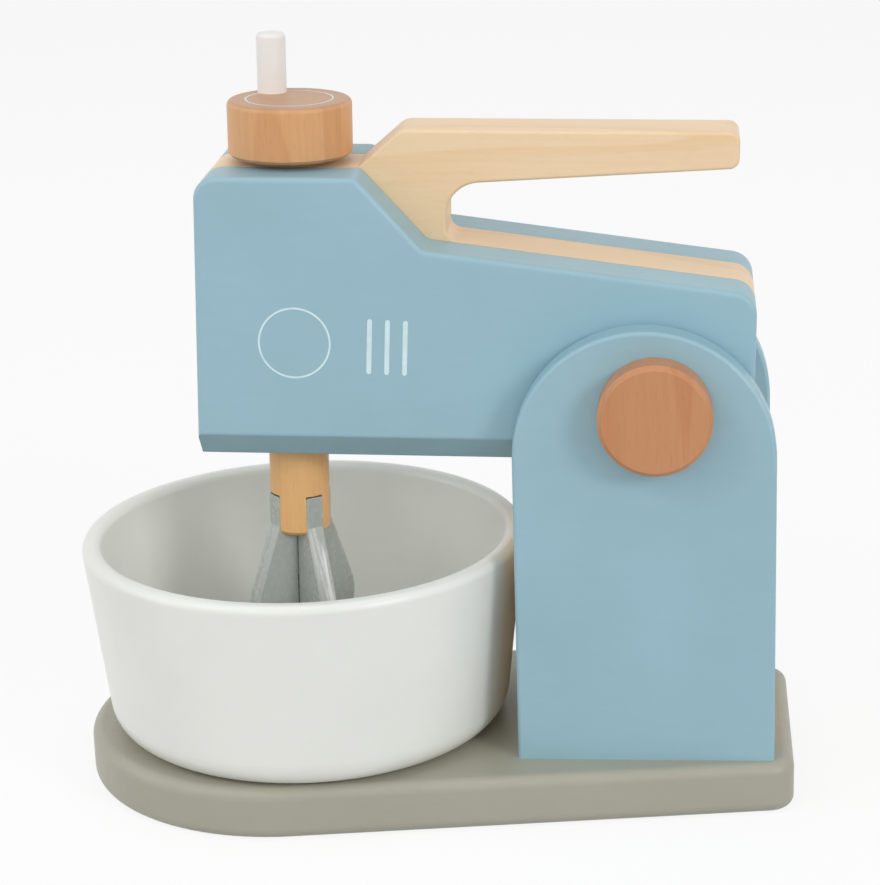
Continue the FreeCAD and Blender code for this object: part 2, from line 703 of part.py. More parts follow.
def make_head_side(side):
    """A painted side board, its inner face against the core."""
    node = "head_side_" + SIDE_NAMES[side]
    body = new_body(node)
    inner = "%d * Sizes.core_thickness / 2" % -side
    outer_offset = "%d * " % -side + HEAD_HALF
    start = inner if side == LEFT else outer_offset
    outline = new_sketch(body, "XZ_Plane", node + "_outline", start)
    polygon(outline, head_corners())
    pad(body, outline, node + "_board", "Sizes.head_side_thickness")
    round_head_corners(body, node)
    shoulder_foot, shoulder = head_corners()[4:6]
    dress(body, "Fillet", node + "_shoulder", "Sizes.shoulder_radius", corner_at(*shoulder))
    dress(body, "Fillet", node + "_shoulder_foot", "Sizes.shoulder_radius", corner_at(*shoulder_foot))

    bevel = new_sketch(body, "YZ_Plane", node + "_sole_bevel_outline")
    outer_face = "%d * " % side + HEAD_HALF
    polygon(bevel, [
        (outer_face, "0 - Sizes.head_below"),
        (outer_face, "Sizes.head_sole_edge - Sizes.head_below"),
        (outer_face + " - %d * Sizes.head_sole_edge" % side, "0 - Sizes.head_below"),
    ])
    pocket(body, bevel, node + "_sole_bevel")
    outer_y = number(outer_face)
    above_bevel = SIZE["head_sole_edge"] - SIZE["head_below"] + 0.01
    dress(
        body, "Fillet", node + "_outer_edges", "Sizes.head_edge_radius",
        lambda edge: lies_at(edge, "Y", outer_y) and edge.BoundBox.ZMax > above_bevel,
    )
    inner_y = side * SIZE["core_thickness"] / 2
    dress(
        body, "Chamfer", node + "_inner_edges", "Sizes.head_inner_edge",
        lambda edge: lies_at(edge, "Y", inner_y),
    )
    drill_head_board(body, node)
    dowel_plane = "%d * Sizes.core_thickness / 2" % -side
    sockets = new_sketch(body, "XZ_Plane", node + "_dowel_circles", dowel_plane)
    for across, upward in HEAD_DOWELS:
        circle(sockets, "Sizes.head_dowel_diameter", across, upward)
    pocket(body, sockets, node + "_dowel_sockets", "Sizes.head_dowel_socket", flipped=side == LEFT)
    place_in_head(body)
    keep(body, node)


def make_head_core():
    """The plain middle board, with the carrying handle that stands out of its top."""
    node = "head_core_handle"
    body = new_body(node)
    outline = new_sketch(body, "XZ_Plane", node + "_outline")
    toe, heel_front, heel_back, rear, shoulder_foot, shoulder, front = head_corners()
    gap_front = "0 - Sizes.handle_gap_front"
    slope = "(Sizes.shoulder_end_above - Sizes.head_rear_above) / (Sizes.shoulder_end + Sizes.head_rear)"
    gap_floor = "Sizes.shoulder_end_above - (Sizes.shoulder_end - Sizes.handle_gap_front) * " + slope
    under_slope = (
        "(Sizes.handle_under_rear - Sizes.handle_under_front)"
        " / (Sizes.handle_rear + Sizes.handle_gap_front)"
    )
    gap_roof = "Sizes.handle_under_rear - (Sizes.handle_rear + Sizes.handle_gap_front) * " + under_slope
    handle_corners = [
        (gap_front, gap_floor),
        (gap_front, gap_roof),
        ("Sizes.handle_rear", "Sizes.handle_under_rear"),
        ("Sizes.handle_rear", "Sizes.handle_above"),
        ("0 - Sizes.handle_rise_end", "Sizes.handle_above"),
        ("0 - Sizes.handle_rise_start", "Sizes.head_above"),
    ]
    floor_corner, roof_corner, low_end, high_end, crown, rise = handle_corners
    polygon(outline, [toe, heel_front, heel_back, rear] + handle_corners + [front])
    pad(body, outline, node + "_board", "Sizes.core_thickness", midplane=True)
    round_head_corners(body, node)
    rounds = [
        ("toe", toe, "Sizes.head_edge_radius"),
        ("gap_roof", roof_corner, "Sizes.handle_gap_upper_radius"),
        ("low_end", low_end, "Sizes.handle_end_radius"),
        ("high_end", high_end, "Sizes.handle_end_radius"),
        ("crown", crown, "Sizes.handle_crown_radius"),
    ]
    for place, corner, radius in rounds:
        dress(body, "Fillet", "%s_%s" % (node, place), radius, corner_at(*corner))
    faces = (-SIZE["core_thickness"] / 2, SIZE["core_thickness"] / 2)
    above_head = SIZE["head_above"] + 0.01
    dress(
        body, "Fillet", node + "_handle_edges", "Sizes.core_edge_radius",
        lambda edge: any(lies_at(edge, "Y", face) for face in faces) and edge.BoundBox.ZMax > above_head,
    )
    along_y = FreeCAD.Vector(0, 1, 0)
    gap_x = -SIZE["handle_gap_front"]
    gap_z = number(gap_floor)
    dress(
        body, "Fillet", node + "_gap_floor", "Sizes.handle_gap_lower_radius",
        lambda edge: runs_along(edge, along_y) and near(edge.CenterOfMass.x, gap_x)
        and near(edge.CenterOfMass.z, gap_z),
    )
    drill_head_board(body, node)
    dowels = new_sketch(body, "XZ_Plane", node + "_dowel_circles")
    for across, upward in HEAD_DOWELS:
        circle(dowels, "Sizes.head_dowel_diameter", across, upward)
    pocket(body, dowels, node + "_dowel_holes")
    bore = new_sketch(body, "XY_Plane", node + "_spindle_circle")
    bore_diameter = "Sizes.spindle_diameter + 2 * Sizes.spindle_clearance"
    circle(bore, bore_diameter, "0 - Sizes.spindle_reach")
    pocket(body, bore, node + "_spindle_bore")
    place_in_head(body)
    keep(body, node)


def make_head_dowels():
    """Four equal dowels across the head's three layers."""
    dowels = []
    for index, (across, upward) in enumerate(HEAD_DOWELS):
        name = "head_dowel_%d" % index
        dowels.append(
            lying_bar(name, "Sizes.head_dowel_diameter", "Sizes.head_dowel_length", across, upward)
        )
    bunch = group("head_dowels", dowels)
    place_in_head(bunch)
    keep(bunch, "head_dowels")


def make_pivot():
    """The axle that is glued into the head, and a disc glued on each of its ends."""
    axle = lying_bar("pivot_axle", "Sizes.axle_diameter", "2 * (" + DISC_INNER + " + Sizes.disc_socket)")
    place_in_head(axle)
    keep(axle, "pivot_axle")
    for side in (LEFT, RIGHT):
        node = "pivot_disc_" + SIDE_NAMES[side]
        body = new_body(node)
        outer = "(" + DISC_INNER + " + Sizes.disc_thickness)"
        start = DISC_INNER if side == LEFT else "0 - " + outer
        outline = new_sketch(body, "XZ_Plane", node + "_circle", start)
        circle(outline, "2 * Sizes.disc_radius")
        pad(body, outline, node + "_board", "Sizes.disc_thickness")
        outer_y = side * number(outer)
        dress(body, "Chamfer", node + "_rim", "Sizes.disc_edge", lambda edge: lies_at(edge, "Y", outer_y))
        socket = new_sketch(body, "XZ_Plane", node + "_socket_circle", "%d * " % -side + DISC_INNER)
        circle(socket, "Sizes.axle_diameter")
        pocket(body, socket, node + "_socket", "Sizes.disc_socket", flipped=side == LEFT)
        place_in_head(body)
        keep(body, node)


def make_washer():
    """The wooden ring that keeps the knob off the painted top."""
    body = new_body("knob_washer")
    sketch = new_sketch(body, "XY_Plane", "knob_washer_circles", "Sizes.head_above")
    circle(sketch, "Sizes.washer_diameter")
    circle(sketch, "Sizes.spindle_diameter + 2 * Sizes.spindle_clearance")
    pad(body, sketch, "knob_washer_ring", "Sizes.washer_thickness")
    place_on_spindle(body)
    keep(body, "knob_washer")


# ---------------------------------------------------------------- beater


def make_knob():
    body = round_bar("knob", "2 * Sizes.knob_radius", KNOB_BOTTOM, "Sizes.knob_height")
    top = number(KNOB_TOP)
    bottom = number(KNOB_BOTTOM)
    dress(body, "Fillet", "knob_rim", "Sizes.knob_edge_radius", lambda edge: lies_at(edge, "Z", top))
    dress(body, "Chamfer", "knob_lower_rim", "Sizes.knob_lower_edge", lambda edge: lies_at(edge, "Z", bottom))
    socket = new_sketch(body, "XY_Plane", "knob_spindle_circle", KNOB_BOTTOM)
    circle(socket, "Sizes.spindle_diameter")
    pocket(body, socket, "knob_spindle_socket", "Sizes.spindle_knob_socket", flipped=True)
    hole = new_sketch(body, "XY_Plane", "knob_pin_circle", KNOB_TOP)
    across = "Sizes.crank_radius * cos(Sizes.crank_angle * 1deg)"
    sideways = "Sizes.crank_radius * sin(Sizes.crank_angle * 1deg)"
    circle(hole, "Sizes.crank_pin_diameter", across, sideways)
    pocket(body, hole, "knob_pin_socket", "Sizes.crank_pin_socket")
    place_on_spindle(body)
    keep(body, "knob")


def make_crank_pin():
    """The upright peg that turns the knob."""
    body = new_body("crank_pin")
    bottom = KNOB_TOP + " - Sizes.crank_pin_socket"
    length = "Sizes.crank_pin_stand + Sizes.crank_pin_socket"
    sketch = new_sketch(body, "XY_Plane", "crank_pin_circle", bottom)
    across = "Sizes.crank_radius * cos(Sizes.crank_angle * 1deg)"
    sideways = "Sizes.crank_radius * sin(Sizes.crank_angle * 1deg)"
    circle(sketch, "Sizes.crank_pin_diameter", across, sideways)
    pad(body, sketch, "crank_pin_length", length)
    top = number(bottom) + number(length)
    dress(body, "Fillet", "crank_pin_end", "Sizes.crank_pin_edge", lambda edge: lies_at(edge, "Z", top))
    place_on_spindle(body)
    keep(body, "crank_pin")


def make_spindle():
    """The thin dowel through the head, from the knob down to the beater's shaft."""
    bottom = "(" + SHAFT_TOP + " - Sizes.spindle_shaft_socket)"
    length = KNOB_BOTTOM + " + Sizes.spindle_knob_socket - " + bottom
    body = round_bar("spindle", "Sizes.spindle_diameter", bottom, length)
    place_on_spindle(body)
    keep(body, "spindle")


def make_shaft():
    """The thick dowel under the head, with a cross of two slots in its lower end."""
    node = "beater_shaft"
    length = SHAFT_TOP + " - " + SHAFT_BOTTOM
    body = round_bar(node, "Sizes.shaft_diameter", SHAFT_BOTTOM, length)
    bottom = number(SHAFT_BOTTOM)
    dress(body, "Chamfer", node + "_end", "Sizes.shaft_edge", lambda edge: lies_at(edge, "Z", bottom))
    socket = new_sketch(body, "XY_Plane", node + "_spindle_circle", SHAFT_TOP)
    circle(socket, "Sizes.spindle_diameter")
    pocket(body, socket, node + "_spindle_socket", "Sizes.spindle_shaft_socket")
    for index, quarter in enumerate(("0", "90")):
        turn = "Sizes.whisk_angle + " + quarter
        slot = new_sketch(body, "XZ_Plane", "%s_slot_%d" % (node, index), turn=turn)
        half = "Sizes.whisk_thickness / 2"
        polygon(slot, [
            ("0 - " + half, SHAFT_BOTTOM),
            (half, SHAFT_BOTTOM),
            (half, SLOT_TOP),
            ("0 - " + half, SLOT_TOP),
        ])
        pocket(body, slot, slot.Name + "_cut")
    place_on_spindle(body)
    keep(body, node)


def whisk_tangent_point():
    """Where a blade's straight side meets its round end, as a first guess."""
    radius = SIZE["whisk_radius"]
    across = SIZE["whisk_tab_half_width"]
    upward = SIZE["whisk_arc_centre"] - SIZE["whisk_flare_top"]
    direction = math.atan2(upward, across) - math.acos(radius / math.hypot(across, upward))
    return direction


def make_whisk_board(index, quarter, lap_low, lap_high):
    """One of the two blades that cross at the spindle's axis and are halved together."""
    node = "whisk_board_" + "ab"[index]
    body = new_body(node)
    turn = "Sizes.whisk_angle + " + quarter
    outline = new_sketch(body, "XZ_Plane", node + "_outline", turn=turn)
    radius = SIZE["whisk_radius"]
    tab = SIZE["whisk_tab_half_width"]
    centre = FreeCAD.Vector(0, -SIZE["whisk_arc_centre"], 0)
    direction = whisk_tangent_point()
    arc = Part.Circle(centre, FreeCAD.Vector(0, 0, 1), radius)
    end = FreeCAD.Vector(radius * math.cos(direction), centre.y + radius * math.sin(direction), 0)
    top = number(WHISK_TOP)
    flare = -SIZE["whisk_flare_top"]
    points = [
        end, FreeCAD.Vector(tab, flare, 0), FreeCAD.Vector(tab, top, 0),
        FreeCAD.Vector(-tab, top, 0), FreeCAD.Vector(-tab, flare, 0), FreeCAD.Vector(-end.x, end.y, 0),
    ]
    outline.addGeometry(Part.ArcOfCircle(arc, math.pi - direction, 2 * math.pi + direction), False)
    for step in range(5):
        outline.addGeometry(Part.LineSegment(points[step], points[step + 1]), False)
    outline.addConstraint(Sketcher.Constraint("Tangent", 0, 2, 1, 1))
    for line in range(1, 5):
        outline.addConstraint(Sketcher.Constraint("Coincident", line, 2, line + 1, 1))
    outline.addConstraint(Sketcher.Constraint("Tangent", 5, 2, 0, 1))
    pin_point(outline, 0, 3, "0", "0 - Sizes.whisk_arc_centre")
    pin_point(outline, 2, 1, "Sizes.whisk_tab_half_width", "0 - Sizes.whisk_flare_top")
    pin_point(outline, 3, 1, "Sizes.whisk_tab_half_width", WHISK_TOP)
    pin_point(outline, 3, 2, "0 - Sizes.whisk_tab_half_width", WHISK_TOP)
    pin_point(outline, 5, 1, "0 - Sizes.whisk_tab_half_width", "0 - Sizes.whisk_flare_top")
    size = outline.addConstraint(Sketcher.Constraint("Radius", 0, radius))
    outline.setExpression("Constraints[%d]" % size, "Sizes.whisk_radius")
    pad(body, outline, node + "_board", "Sizes.whisk_thickness", midplane=True)
    broad_face = max(body.Shape.Faces, key=lambda face: face.Area)
    sideways = broad_face.normalAt(0, 0)
    from_middle = SIZE["whisk_thickness"] / 2
    dress(
        body, "Chamfer", node + "_edges", "Sizes.whisk_edge",
        lambda edge: near(abs(edge.CenterOfMass.dot(sideways)), from_middle),
    )
    lap = new_sketch(body, "XZ_Plane", node + "_lap_outline", turn=turn)
    half = "(Sizes.whisk_thickness / 2 + Sizes.whisk_lap_clearance)"
    polygon(lap, [("0 - " + half, lap_low), (half, lap_low), (half, lap_high), ("0 - " + half, lap_high)])
    pocket(body, lap, node + "_lap")
    place_on_spindle(body)
    keep(body, node)


# ---------------------------------------------------------------- build


def check_document():
    for item in doc.Objects:
        if "Invalid" in item.State or "Error" in item.State:
            raise RuntimeError("failed: %s %s" % (item.Label, item.State))
    for item in parts:
        if item.Shape.isNull() or not item.Shape.isValid():
            raise RuntimeError("bad shape: " + item.Label)


def write_parts():
    os.makedirs("parts", exist_ok=True)
    for item in parts:
        item.Shape.exportStep("parts/%s.step" % item.Label)
        box = item.Shape.BoundBox
        print("%-18s solids %d  volume %9.1f mm3  x %7.2f %7.2f  y %7.2f %7.2f  z %7.2f %7.2f" % (
            item.Label, len(item.Shape.Solids), item.Shape.Volume,
            box.XMin, box.XMax, box.YMin, box.YMax, box.ZMin, box.ZMax,
        ))


fill_sheet()
make_base_plate()
make_screws()
for side in (LEFT, RIGHT):
    make_cheek(side)
make_panel("front_panel", "Sizes.front_panel_reach", FRONT_PANEL_TOP, "Sizes.front_panel_reach")
make_panel("rear_panel", REAR_PANEL_FRONT, REAR_PANEL_TOP, REAR_PANEL_BACK)
make_panel_dowels()
make_bowl()
make_head_core()
for side in (LEFT, RIGHT):
    make_head_side(side)
make_head_dowels()
make_pivot()
make_washer()
make_knob()
make_crank_pin()
make_spindle()
make_shaft()
make_whisk_board(0, "0", WHISK_BOTTOM, WHISK_MIDDLE)
make_whisk_board(1, "90", WHISK_MIDDLE, WHISK_TOP)
doc.recompute()
check_document()
write_parts()
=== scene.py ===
"""The looks of the wooden toy stand mixer: paint, wood, printed marks, floor, light and camera.

Metres, in the CAD's frame: -X is the bowl end, -Y the near side, +Z up.
"""
import json
import math

import bmesh
import bpy
from mathutils import Matrix, Vector


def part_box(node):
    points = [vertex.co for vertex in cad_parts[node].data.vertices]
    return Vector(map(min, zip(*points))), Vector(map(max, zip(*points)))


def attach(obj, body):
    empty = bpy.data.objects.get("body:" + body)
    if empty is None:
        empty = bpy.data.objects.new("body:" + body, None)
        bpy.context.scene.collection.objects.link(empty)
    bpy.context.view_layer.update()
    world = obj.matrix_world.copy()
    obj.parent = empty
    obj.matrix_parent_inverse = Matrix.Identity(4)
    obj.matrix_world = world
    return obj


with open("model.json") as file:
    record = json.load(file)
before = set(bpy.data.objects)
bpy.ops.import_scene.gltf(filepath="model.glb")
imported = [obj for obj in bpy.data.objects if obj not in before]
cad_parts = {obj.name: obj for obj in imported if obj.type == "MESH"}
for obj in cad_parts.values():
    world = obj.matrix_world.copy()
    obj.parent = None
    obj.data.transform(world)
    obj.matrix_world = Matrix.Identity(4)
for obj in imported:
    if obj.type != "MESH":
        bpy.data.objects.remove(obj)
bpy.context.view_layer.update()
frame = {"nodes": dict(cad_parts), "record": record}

MM = 0.001

# The camera: a long lens, a little above the toy and turned slightly to its left.
IMAGE_WIDTH, IMAGE_HEIGHT = 880, 885
SENSOR = 36.0
FOCAL_LENGTH_IN_PIXELS = 2593.2
CAMERA_PLACE = Vector((0.07515, -0.73898, 0.34117))
CAMERA_YAW = math.radians(-5.583)
CAMERA_DOWN = math.radians(17.787)
CAMERA_ROLL = math.radians(-1.844)

# Light. A strength of 1 from all round would show a colour as it is written. The room's pale
# walls are brighter than what lies above and below them.
ROOM_STRENGTH = 1.34
ROOM_TONES = [
    # the sine of the height above the horizon, share of the strength
    (0.10, 0.22),
    (0.28, 1.00),
    (0.44, 1.00),
    (0.58, 0.25),
    (0.74, 0.25),
    (0.86, 0.00),
]
LAMPS = [
    # name, place, what it points at, side of the square, watts
    ("top_softbox", (-0.05, -0.10, 1.80), (0.0, 0.0, 0.10), 1.30, 6.2),
    ("left_softbox", (-1.75, -0.25, 0.75), (0.0, 0.0, 0.10), 1.10, 4.5),
    ("left_lamp", (-0.95, -0.95, 1.35), (0.0, 0.0, 0.10), 0.50, 4.0),
    ("front_softbox", (-0.10, -1.45, 1.25), (0.0, 0.0, 0.10), 1.10, 2.4),
    ("right_lamp", (1.25, -1.15, 0.85), (0.0, 0.0, 0.10), 0.50, 8.5),
]

# The floor. It lights the toy as plain grey paper. Seen by the camera it is nearly white, and the
# share that doesn't glow is shaded as usual and keeps the toy's shadow.
FLOOR_SIZE = 14.0
FLOOR_GREY = 0.62
FLOOR_SEEN_GREY = 0.97
FLOOR_GLOW = 0.85

# Finishes, as sRGB colours out of 255.
BLUE_PAINT = (150, 186, 199)
GREY_PAINT = (166, 164, 149)
WHITE_PAINT = (236, 237, 231)
PIN_PAINT = (239, 236, 232)
WHISK_PAINT = (172, 178, 173)
# The white of the painted highlight streaks on the whisk's edges.
GLINT_WHITE = (240, 242, 239)
PRINT_WHITE = (215, 237, 243)
PALE_WOOD = (242, 214, 177)
PALE_WOOD_LATE = (235, 201, 157)
BEECH = (217, 164, 112)
BEECH_LATE = (204, 147, 97)
DISC_BEECH = (196, 138, 94)
DISC_BEECH_LATE = (187, 125, 81)
SHAFT_BEECH = (238, 188, 128)
SHAFT_BEECH_LATE = (224, 168, 106)
FLECK_BROWN = (128, 78, 46)
END_GRAIN = (176, 140, 116)
ZINC = (170, 170, 166)

# How the finishes are laid on.
COAT_ROUGHNESS = 0.25
EDGE_SAMPLES = 6
ROUNDING_SAMPLES = 8
CREASE_SAMPLES = 8
WOOD_EDGE = 0.5 * MM
HEAD_EDGE_ROUNDING = 1.6 * MM
# How far the painted shade in creases and seams reaches.
CREASE_DEPTH = 1.5 * MM
# Painted highlight streaks on the whisk's sawn edges, in features to the metre.
STREAKS_ACROSS = 560
STREAKS_ALONG = 45

# Printed marks on the near face of the head, in millimetres. The middle bar is placed from the
# pivot's axis, and the rest from the middle bar, along lines turned a little against the head.
PRINT_LIFT = 0.03
PRINT_DEPTH = 0.03
PRINT_HEIGHT = 15.15
PRINT_FORWARD = 77.1
PRINT_TURN = math.radians(2.0)
BAR_PITCH = 5.17
BAR_COUNT = 3
BAR_WIDTH = 1.4
BAR_LENGTH = 16.4
RING_FROM_BARS = 26.9
RING_RADIUS = 10.3
RING_LINE = 0.55
KNOB_RING_RADIUS = 12.7
KNOB_RING_LINE = 0.45
CIRCLE_STEPS = 96
ROUND_END_STEPS = 12


# ---------------------------------------------------------------- places


def joint(name):
    """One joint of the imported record."""
    return next(item for item in frame["record"]["behaviour"]["joints"] if item["name"] == name)


PIVOT = Vector(joint("head_tilt")["pos_m"])
SPINDLE = Vector(joint("beater_spin")["pos_m"])
HEAD_UP = Vector(joint("beater_spin")["axis"])
HEAD_BACK = Vector((HEAD_UP.z, 0, -HEAD_UP.x))


def broad_side(node):
    """The way that a board's flat faces look."""
    return max(frame["nodes"][node].data.polygons, key=lambda face: face.area).normal.copy()


def farthest(node, direction):
    """How far a CAD node reaches along a direction, from the world's origin."""
    return max(vertex.co.dot(direction) for vertex in frame["nodes"][node].data.vertices)


# ---------------------------------------------------------------- node trees


def srgb(colour, factor=1.0):
    """An sRGB colour out of 255 as the linear colour that a shader socket takes."""
    linear = []
    for channel in colour:
        value = channel / 255
        value = value / 12.92 if value <= 0.04045 else ((value + 0.055) / 1.055) ** 2.4
        linear.append(min(1.0, value * factor))
    return (*linear, 1.0)


def add_node(tree, kind, inputs=None, **settings):
    """A shader node. An input's value is either a number, a colour or another node's socket."""
    made = tree.nodes.new("ShaderNode" + kind)
    for key, value in settings.items():
        setattr(made, key, value)
    for key, value in (inputs or {}).items():
        if isinstance(value, bpy.types.NodeSocket):
            tree.links.new(value, made.inputs[key])
        else:
            made.inputs[key].default_value = value
    return made


def noise(tree, scales, detail=2.0, roughness=0.5, distortion=0.0):
    """Noise in the object's own coordinates, with so many features to the metre along X, Y and Z."""
    place = add_node(tree, "TexCoord").outputs["Object"]
    scaled = add_node(tree, "Mapping", {"Vector": place, "Scale": scales})
    made = add_node(tree, "TexNoise", {
        "Vector": scaled.outputs["Vector"],
        "Scale": 1.0,
        "Detail": detail,
        "Roughness": roughness,
        "Distortion": distortion,
    })
    return made.outputs["Fac"]


def arithmetic(tree, operation, first, second=0.0):
    """One step of arithmetic on two numbers or sockets."""
    return add_node(tree, "Math", {0: first, 1: second}, operation=operation).outputs["Value"]


def ramp(tree, value, stops):
    """A colour ramp through (position, linear colour) stops."""
    made = add_node(tree, "ValToRGB", {"Fac": value})
    elements = made.color_ramp.elements
    while len(elements) < len(stops):
        elements.new(0.5)
    for element, (position, colour) in zip(elements, stops):
        element.position = position
        element.color = colour
    return made.outputs["Color"]


def grey(level):
    """A linear grey, for a ramp or a colour socket."""
    return (level, level, level, 1.0)


def mix(tree, factor, first, second, blend="MIX"):
    """Two colours, mixed or blended by a factor."""
    return add_node(
        tree, "MixRGB", {"Fac": factor, "Color1": first, "Color2": second}, blend_type=blend
    ).outputs["Color"]


def edge_mask(tree, radius):
    """Near 1 along sharp and tightly rounded edges, 0 on flat faces."""
    rounded = add_node(tree, "Bevel", {"Radius": radius}, samples=EDGE_SAMPLES).outputs["Normal"]
    true_normal = add_node(tree, "NewGeometry").outputs["Normal"]
    together = add_node(tree, "VectorMath", {0: rounded, 1: true_normal}, operation="DOT_PRODUCT")
    return ramp(tree, together.outputs["Value"], [(0.80, grey(1.0)), (0.985, grey(0.0))])


def new_material(name, roughness, coat=0.0):
    """A material, its node tree and its surface shader."""
    material = bpy.data.materials.new(name)
    material.use_nodes = True
    tree = material.node_tree
    surface = tree.nodes["Principled BSDF"]
    surface.inputs["Roughness"].default_value = roughness
    surface.inputs["Coat Weight"].default_value = coat
    surface.inputs["Coat Roughness"].default_value = COAT_ROUGHNESS
    return material, tree, surface


# ---------------------------------------------------------------- finishes


def edge_glint_streaks(tree, broad):
    """Painted highlight streaks along a board's sawn edges where these slope up. broad is the way that its
    flat faces look.
    """
    place = add_node(tree, "TexCoord")
    facing = place.outputs["Normal"]
    flat = add_node(tree, "VectorMath", {0: facing, 1: broad}, operation="DOT_PRODUCT").outputs["Value"]
    on_edge = ramp(tree, arithmetic(tree, "ABSOLUTE", flat), [(0.25, grey(1.0)), (0.85, grey(0.0))])
    # Only edge faces that turn up get the painted highlight.
    upward = add_node(tree, "SeparateXYZ", {"Vector": facing}).outputs["Z"]
    sloping = ramp(tree, upward, [(0.06, grey(0.0)), (0.22, grey(1.0))])
    spot = place.outputs["Object"]
    through = add_node(tree, "VectorMath", {0: spot, 1: broad}, operation="DOT_PRODUCT").outputs["Value"]
    high = add_node(tree, "SeparateXYZ", {"Vector": spot}).outputs["Z"]
    along_edge = add_node(tree, "CombineXYZ", {
        "X": arithmetic(tree, "MULTIPLY", through, STREAKS_ACROSS),
        "Y": arithmetic(tree, "MULTIPLY", high, STREAKS_ALONG),
    }).outputs["Vector"]
    lines = add_node(tree, "TexNoise", {"Vector": along_edge, "Scale": 1.0, "Detail": 2.0}).outputs["Fac"]
    streaks = ramp(tree, lines, [(0.46, grey(0.12)), (0.60, grey(1.0))])
    return arithmetic(tree, "MULTIPLY", arithmetic(tree, "MULTIPLY", on_edge, sloping), streaks)


def painted(name, colour, roughness=0.46, painted_edge_brightness=1.14, edge_width=0.7 * MM, soft=0.0, broad=None,
            streaks=0.0):
    """Sprayed satin paint on wood: soft clouds, a faint orange peel, and painted light along the edges.

    Along the edges the colour is scaled by a given brightness: above 1 it is a painted highlight, below 1
    painted shade. soft is the radius to which the paint rounds a corner. broad and streaks are for a thin
    sawn board: the way that its flat faces look, and how strong the painted highlight streaks on its
    sawn edges are. Such a board also gets painted shade in its creases and seams.
    """
    material, tree, surface = new_material(name, roughness, coat=0.12)
    clouds = noise(tree, (26, 26, 26), detail=3)
    grain = noise(tree, (90, 420, 420), detail=3)
    peel = noise(tree, (520, 520, 520), detail=2)
    tone = ramp(tree, clouds, [(0.32, srgb(colour, 0.975)), (0.68, srgb(colour, 1.025))])
    tone = mix(tree, 0.02, tone, ramp(tree, grain, [(0.3, grey(0.0)), (0.7, grey(1.0))]), "SOFT_LIGHT")
    # Painted light along the edges: lighter than the paint is a painted highlight, darker is painted shade.
    painted_edge_blend = arithmetic(tree, "MULTIPLY", edge_mask(tree, edge_width), 0.6)
    tone = mix(tree, painted_edge_blend, tone, srgb(colour, painted_edge_brightness))
    if broad is not None:
        # Painted highlight streaks on the sawn edges.
        sawn = arithmetic(tree, "MULTIPLY", edge_glint_streaks(tree, broad), streaks)
        tone = mix(tree, sawn, tone, srgb(GLINT_WHITE))
        # Painted shade: the colour darkens where ambient occlusion finds creases and seams, such as between
        # the whisk boards.
        occlusion = add_node(tree, "AmbientOcclusion", {"Distance": CREASE_DEPTH}, samples=CREASE_SAMPLES)
        painted_crease_shade = ramp(tree, occlusion.outputs["AO"], [(0.30, grey(0.25)), (0.75, grey(1.0))])
        tone = mix(tree, 1.0, tone, painted_crease_shade, "MULTIPLY")
    tree.links.new(tone, surface.inputs["Base Color"])
    gloss = ramp(tree, peel, [(0.3, grey(roughness - 0.04)), (0.7, grey(roughness + 0.05))])
    tree.links.new(gloss, surface.inputs["Roughness"])
    relief = arithmetic(tree, "ADD", peel, arithmetic(tree, "MULTIPLY", grain, 0.15))
    bump = add_node(tree, "Bump", {"Height": relief, "Strength": 0.10, "Distance": 0.15 * MM})
    if soft:
        rounded = add_node(tree, "Bevel", {"Radius": soft}, samples=ROUNDING_SAMPLES)
        tree.links.new(rounded.outputs["Normal"], bump.inputs["Normal"])
    tree.links.new(bump.outputs["Normal"], surface.inputs["Normal"])
    return material


def along(grain, with_grain, across, deep=None):
    """Noise scales for wood whose grain runs along X, Y or Z."""
    deep = across if deep is None else deep
    return {
        "X": (with_grain, across, deep),
        "Y": (across, with_grain, deep),
        "Z": (across, deep, with_grain),
    }[grain]


def end_grain(tree, grain):
    """1 where the surface cuts across the grain, 0 along it."""
    facing = add_node(tree, "TexCoord").outputs["Normal"]
    along_grain = add_node(tree, "SeparateXYZ", {"Vector": facing}).outputs[grain]
    steepness = arithmetic(tree, "ABSOLUTE", along_grain)
    return ramp(tree, steepness, [(0.55, grey(0.0)), (0.90, grey(1.0))])


